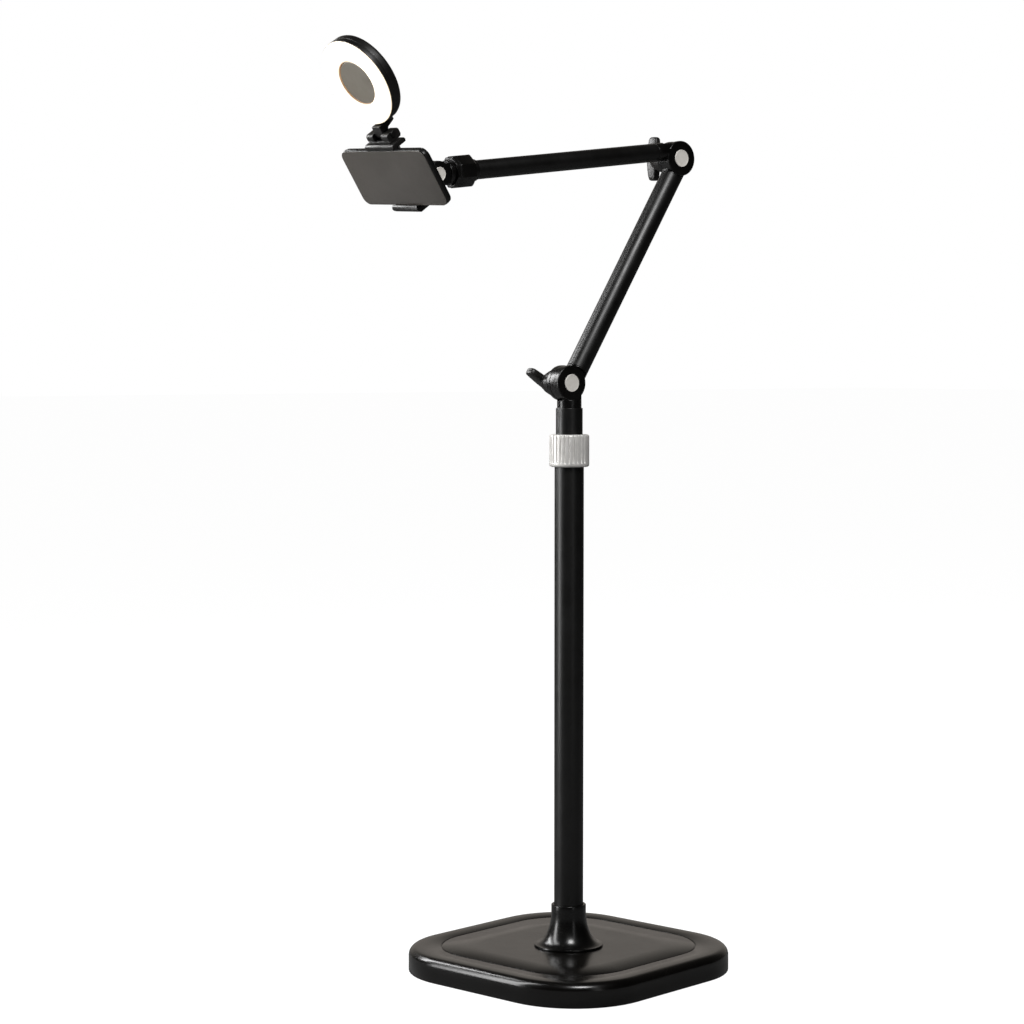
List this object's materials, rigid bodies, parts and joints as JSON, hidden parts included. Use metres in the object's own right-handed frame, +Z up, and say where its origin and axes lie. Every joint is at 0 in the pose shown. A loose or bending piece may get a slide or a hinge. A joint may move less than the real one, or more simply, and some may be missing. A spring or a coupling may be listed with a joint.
{
  "type": "phone floor stand with ring light",
  "caption": "Floor stand with a square base, telescopic pole and folding arms, with a spring clamp holding a phone under a clip-on ring light.",
  "frame": {"origin": "pole axis where the base rests on the floor", "axes": "+Z up along the pole; the arms fold in the XZ plane, with the elbow towards +X and the phone towards -X; the hinge caps face -Y and the wing knobs +Y"},
  "size_m": [0.5164, 0.3474, 1.0772],
  "materials": {
    "pole_coat": "satin black powder coat on steel tube",
    "boss_plastic": "semi-gloss black glass-filled nylon",
    "knob_plastic": "semi-gloss black plastic",
    "base_plastic": "smooth dark ABS with a soft gloss",
    "collar_metal": "satin silver, ribbed",
    "cap_metal": "satin warm silver",
    "steel": "zinc plated steel",
    "weight_iron": "painted plate",
    "rubber": "matte black rubber",
    "nylon": "natural nylon",
    "clamp_plastic": "semi-gloss black plastic",
    "phone_shell": "black anodised",
    "phone_glass": "black glass over the display",
    "lens_glass": "dark lens",
    "battery_foil": "foil pouch",
    "light_plastic": "black plastic",
    "diffuser": "milky diffuser, lit warm white",
    "mirror": "mirror",
    "board": "white circuit board"
  },
  "bodies": {
    "stand": {"base_shell": "base_plastic", "base_weight": "weight_iron", "base_mat": "rubber", "bell_flange": "boss_plastic", "outer_tube": "pole_coat", "pole_plug": "boss_plastic", "pole_bolt": "steel", "thread_sleeve": "boss_plastic", "collet_ring": "nylon"},
    "collar": {"lock_collar": "collar_metal"},
    "mast": {"inner_tube": "pole_coat", "guide_bush": "nylon"},
    "shoulder": {"shoulder_fork": "boss_plastic", "shoulder_bolt": "steel", "shoulder_cap": "cap_metal", "shoulder_washer": "rubber"},
    "shoulder_wing": {"shoulder_knob": "knob_plastic"},
    "lower_arm": {"lower_arm_tube": "pole_coat", "shoulder_tongue": "boss_plastic", "elbow_tongue": "boss_plastic"},
    "upper_arm": {"elbow_fork": "boss_plastic", "elbow_bolt": "steel", "elbow_cap": "cap_metal", "elbow_washer": "rubber", "upper_arm_tube": "pole_coat", "arm_end_flange": "boss_plastic"},
    "elbow_wing": {"elbow_knob": "knob_plastic"},
    "nut": {"lock_nut": "boss_plastic"},
    "head": {"head_fork": "boss_plastic", "head_bolt": "steel", "head_cap": "cap_metal", "head_washer": "rubber"},
    "head_wing": {"head_knob": "knob_plastic"},
    "clamp": {"clamp_tongue": "clamp_plastic", "clamp_body": "clamp_plastic", "clamp_cover": "clamp_plastic", "lower_jaw_pad": "rubber", "back_pad": "rubber"},
    "jaw": {"upper_jaw": "clamp_plastic", "upper_jaw_pad": "rubber", "guide_rod_near": "steel", "guide_rod_far": "steel", "light_clip": "clamp_plastic", "light_pin": "steel"},
    "phone": {"phone_frame": "phone_shell", "phone_screen": "phone_glass", "phone_back": "phone_glass", "phone_battery": "battery_foil", "camera_bump": "phone_shell", "camera_lens_wide": "lens_glass", "camera_lens_tele": "lens_glass"},
    "power": {"power_key": "phone_shell"},
    "volume": {"volume_key": "phone_shell"},
    "light": {"light_stem": "clamp_plastic", "light_housing": "light_plastic", "light_diffuser": "diffuser", "light_mirror": "mirror", "led_board": "board", "charge_inlet": "steel"},
    "button": {"light_button": "light_plastic"}
  },
  "joints": [
    {"name": "mast_slide", "type": "slide", "parent": "stand", "child": "mast", "axis": [0, 0, 1], "range_m": [-0.02, 0.4]},
    {"name": "collar_twist", "type": "hinge", "parent": "stand", "child": "collar", "pos_m": [0, 0, 0.618], "axis": [0, 0, 1], "range_deg": [0, 120]},
    {"name": "neck_swivel", "type": "hinge", "parent": "mast", "child": "shoulder", "pos_m": [0, 0, 0.674], "axis": [0, 0, 1], "continuous": true},
    {"name": "shoulder_hinge", "type": "hinge", "parent": "shoulder", "child": "lower_arm", "pos_m": [-0.0048, 0, 0.6974], "axis": [0, 1, 0], "range_deg": [-75, 50]},
    {"name": "shoulder_knob_turn", "type": "hinge", "parent": "shoulder", "child": "shoulder_wing", "pos_m": [-0.0048, 0, 0.6974], "axis": [0, 1, 0], "continuous": true},
    {"name": "elbow_hinge", "type": "hinge", "parent": "lower_arm", "child": "upper_arm", "pos_m": [0.16271, 0, 0.96652], "axis": [0, 1, 0], "range_deg": [-25, 120]},
    {"name": "elbow_knob_turn", "type": "hinge", "parent": "upper_arm", "child": "elbow_wing", "pos_m": [0.16271, 0, 0.96652], "axis": [0, 1, 0], "continuous": true},
    {"name": "lock_nut_twist", "type": "hinge", "parent": "upper_arm", "child": "nut", "pos_m": [0.16154, 0, 0.97625], "axis": [-0.9928, 0, -0.1201], "range_deg": [0, 120]},
    {"name": "head_roll", "type": "hinge", "parent": "upper_arm", "child": "head", "pos_m": [0.16154, 0, 0.97625], "axis": [-0.9928, 0, -0.1201], "range_deg": [-90, 90]},
    {"name": "head_tilt", "type": "hinge", "parent": "head", "child": "clamp", "pos_m": [-0.19387, 0, 0.93324], "axis": [-0.0109, 0.9959, 0.09], "range_deg": [-60, 60]},
    {"name": "head_knob_turn", "type": "hinge", "parent": "head", "child": "head_wing", "pos_m": [-0.19387, 0, 0.93324], "axis": [-0.0109, 0.9959, 0.09], "continuous": true},
    {"name": "jaw_slide", "type": "slide", "parent": "clamp", "child": "jaw", "axis": [-0.5746, -0.0799, 0.8145], "range_m": [0, 0.018], "stiffness_N_per_m": 300, "springref_m": -0.02},
    {"name": "phone_slide", "type": "slide", "parent": "clamp", "child": "phone", "axis": [-0.0637, 0.9966, 0.0528], "range_m": [-0.02, 0.02]},
    {"name": "light_tilt", "type": "hinge", "parent": "jaw", "child": "light", "pos_m": [-0.26723, -0.00536, 0.97379], "axis": [-0.0637, 0.9966, 0.0528], "range_deg": [-45, 15]},
    {"name": "light_button_press", "type": "slide", "parent": "light", "child": "button", "axis": [-0.8307, -0.0236, -0.5562], "range_m": [0, 0.0008], "stiffness_N_per_m": 800, "springref_m": -0.0006},
    {"name": "power_key_press", "type": "slide", "parent": "phone", "child": "power", "axis": [-0.5746, -0.0799, 0.8145], "range_m": [0, 0.00035], "stiffness_N_per_m": 2000, "springref_m": -0.0004},
    {"name": "volume_key_press", "type": "slide", "parent": "phone", "child": "volume", "axis": [0.5746, 0.0799, -0.8145], "range_m": [0, 0.00035], "stiffness_N_per_m": 2000, "springref_m": -0.0004}
  ]
}
